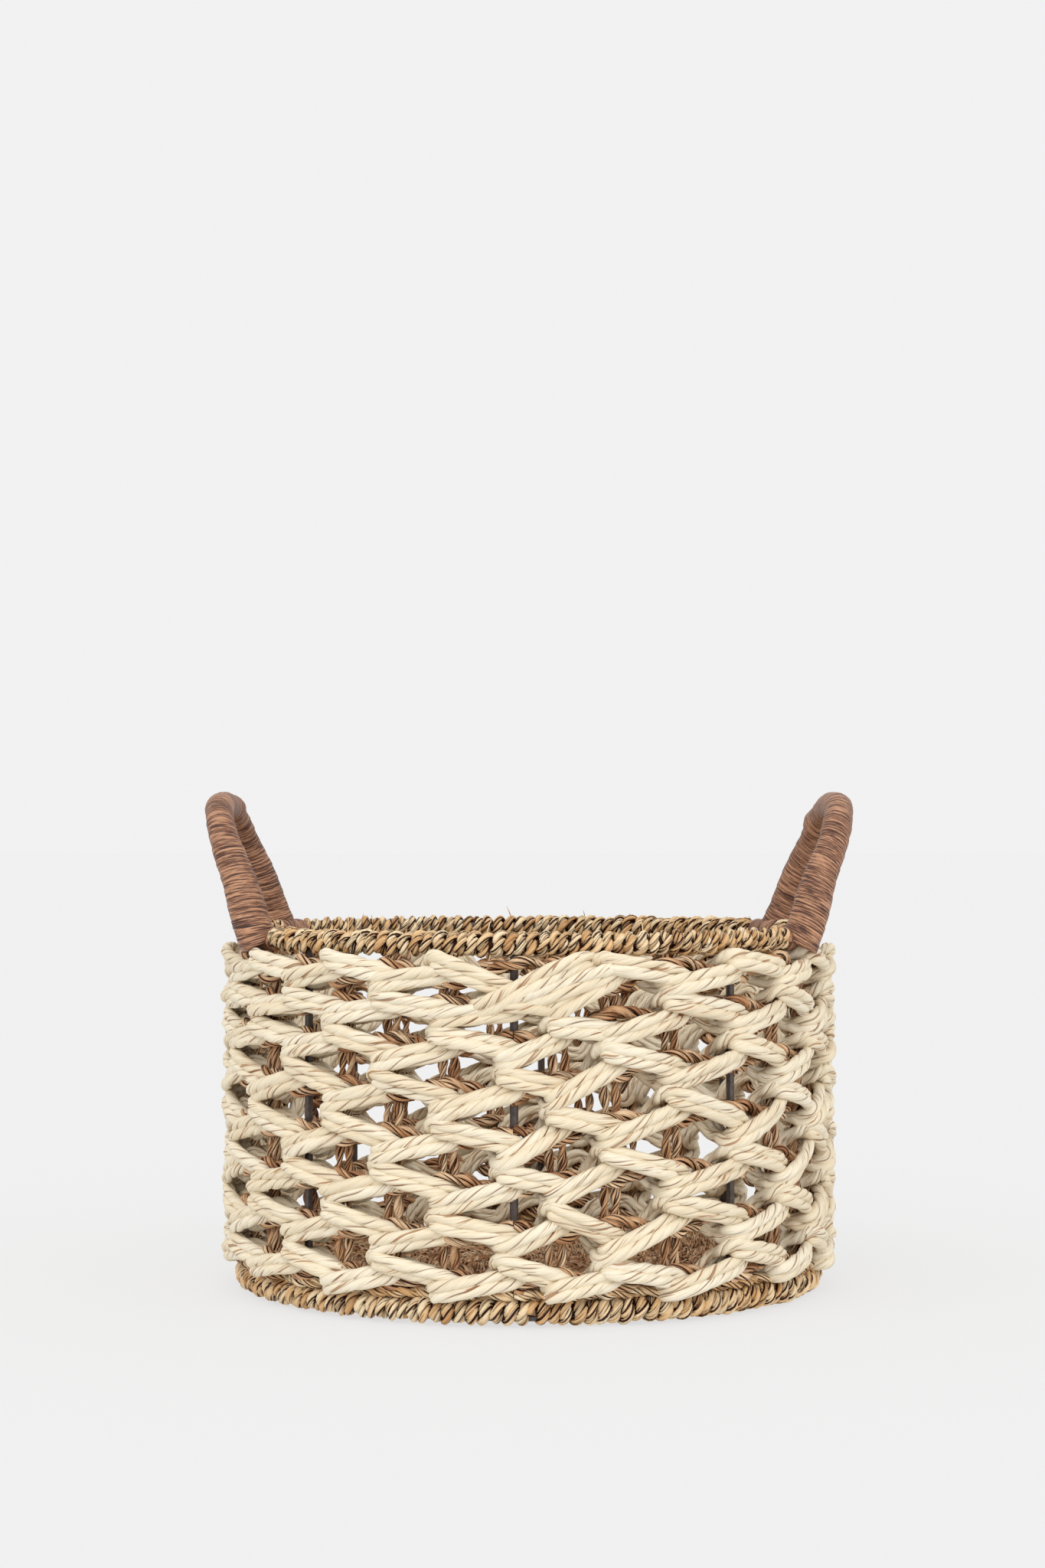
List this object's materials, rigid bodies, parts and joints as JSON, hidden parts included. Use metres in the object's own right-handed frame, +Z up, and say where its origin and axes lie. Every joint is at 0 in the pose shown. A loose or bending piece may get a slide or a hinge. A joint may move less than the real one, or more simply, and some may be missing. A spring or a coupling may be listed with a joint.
{
  "type": "seagrass storage basket",
  "caption": "Round open storage basket of thick twisted paper rope woven over cord and steel stakes, with a cord-bound rim and base and an upright bound handle at each side.",
  "frame": {"origin": "centre of the base ring, on the surface the basket stands on", "axes": "+Z up, +X towards the right-hand handle, -Y towards the front"},
  "size_m": [0.3744, 0.3545, 0.2871],
  "materials": {
    "paper_rope": "matt twisted paper cord",
    "seagrass": "satin twisted seagrass cord",
    "seagrass_dark": "matt twisted seagrass cord",
    "steel_wire": "satin dark grey paint",
    "brown_strip": "satin paper strip, closely wound"
  },
  "bodies": {
    "root": {"base_ring_and_cross_wires": "steel_wire", "base_wrap": "seagrass", "cord_stake_01": "seagrass_dark", "cord_stake_02": "seagrass_dark", "cord_stake_03": "seagrass_dark", "cord_stake_05": "seagrass_dark", "cord_stake_06": "seagrass_dark", "cord_stake_07": "seagrass_dark", "cord_stake_09": "seagrass_dark", "cord_stake_10": "seagrass_dark", "cord_stake_11": "seagrass_dark", "cord_stake_13": "seagrass_dark", "cord_stake_14": "seagrass_dark", "cord_stake_15": "seagrass_dark", "cord_stake_17": "seagrass_dark", "cord_stake_18": "seagrass_dark", "cord_stake_19": "seagrass_dark", "cord_stake_21": "seagrass_dark", "cord_stake_22": "seagrass_dark", "cord_stake_23": "seagrass_dark", "cord_stake_25": "seagrass_dark", "cord_stake_26": "seagrass_dark", "cord_stake_27": "seagrass_dark", "cord_stake_29": "seagrass_dark", "cord_stake_30": "seagrass_dark", "cord_stake_31": "seagrass_dark", "floor_mat": "seagrass", "handle_wire_left": "steel_wire", "handle_wire_right": "steel_wire", "handle_wrap_left": "brown_strip", "handle_wrap_right": "brown_strip", "rim_ring": "steel_wire", "rim_wrap_back": "seagrass", "rim_wrap_front": "seagrass", "rim_wrap_left": "seagrass", "rim_wrap_right": "seagrass", "rope_row_1": "paper_rope", "rope_row_2": "paper_rope", "rope_row_3": "paper_rope", "rope_row_4": "paper_rope", "rope_row_5": "paper_rope", "rope_row_6": "paper_rope", "rope_row_7": "paper_rope", "rope_row_8": "paper_rope", "steel_stake_00": "steel_wire", "steel_stake_04": "steel_wire", "steel_stake_08": "steel_wire", "steel_stake_12": "steel_wire", "steel_stake_16": "steel_wire", "steel_stake_20": "steel_wire", "steel_stake_24": "steel_wire", "steel_stake_28": "steel_wire", "weft_row_1": "seagrass_dark", "weft_row_2": "seagrass_dark", "weft_row_3": "seagrass_dark", "weft_row_4": "seagrass_dark", "weft_row_5": "seagrass_dark", "weft_row_6": "seagrass_dark", "weft_row_7": "seagrass_dark", "weft_row_8": "seagrass_dark"}
  },
  "joints": []
}
